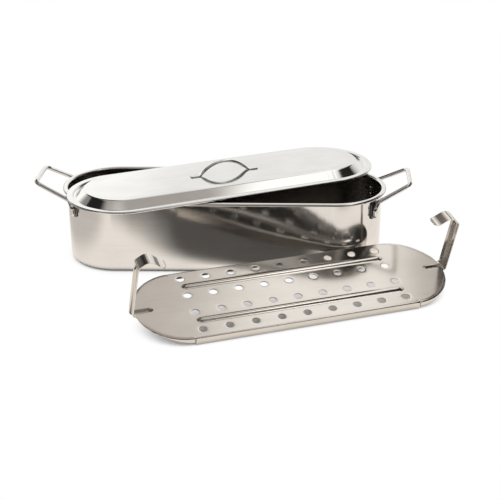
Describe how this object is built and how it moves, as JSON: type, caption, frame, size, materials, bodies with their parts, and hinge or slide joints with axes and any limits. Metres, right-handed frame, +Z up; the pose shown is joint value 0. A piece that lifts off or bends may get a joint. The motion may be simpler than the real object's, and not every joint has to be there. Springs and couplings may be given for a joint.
{
  "type": "fish poacher",
  "caption": "Oblong steel fish poacher: deep pan with riveted wire handles, lid with strap handle lying askew on the rim, and a perforated lift-out rack with hooked ends leaning on the pan.",
  "frame": {"origin": "centre of the pan's flat base, on the floor", "axes": "+Z up; X along the pan's length, +X to the right in the picture; +Y from the front to the back"},
  "size_m": [0.5713, 0.4371, 0.134],
  "materials": {
    "pan_body": "satin outside, bright rim",
    "pan_handle_left": "bright",
    "pan_handle_right": "bright",
    "bracket_left_front": "bright",
    "bracket_left_back": "bright",
    "bracket_right_front": "bright",
    "bracket_right_back": "bright",
    "rivet_left_front_upper": "bright",
    "rivet_left_front_lower": "bright",
    "rivet_left_back_upper": "bright",
    "rivet_left_back_lower": "bright",
    "rivet_right_front_upper": "bright",
    "rivet_right_front_lower": "bright",
    "rivet_right_back_upper": "bright",
    "rivet_right_back_lower": "bright",
    "lid_shell": "bright, lightly brushed",
    "lid_handle": "bright",
    "rack_plate": "bright, lightly brushed",
    "rack_hook_left": "bright",
    "rack_hook_right": "bright"
  },
  "bodies": {
    "pan": {"pan_body": "pan_body", "pan_handle_left": "pan_handle_left", "pan_handle_right": "pan_handle_right", "bracket_left_front": "bracket_left_front", "bracket_left_back": "bracket_left_back", "bracket_right_front": "bracket_right_front", "bracket_right_back": "bracket_right_back", "rivet_left_front_upper": "rivet_left_front_upper", "rivet_left_front_lower": "rivet_left_front_lower", "rivet_left_back_upper": "rivet_left_back_upper", "rivet_left_back_lower": "rivet_left_back_lower", "rivet_right_front_upper": "rivet_right_front_upper", "rivet_right_front_lower": "rivet_right_front_lower", "rivet_right_back_upper": "rivet_right_back_upper", "rivet_right_back_lower": "rivet_right_back_lower"},
    "lid": {"lid_shell": "lid_shell", "lid_handle": "lid_handle"},
    "rack": {"rack_plate": "rack_plate", "rack_hook_left": "rack_hook_left", "rack_hook_right": "rack_hook_right"}
  },
  "joints": [
    {"name": "lid_lift", "type": "slide", "parent": "pan", "child": "lid", "axis": [0, 0, 1], "range_m": [0, 0.25]},
    {"name": "rack_lift", "type": "slide", "parent": "pan", "child": "rack", "axis": [0.0748, -0.2029, 0.9763], "range_m": [0, 0.25]}
  ]
}
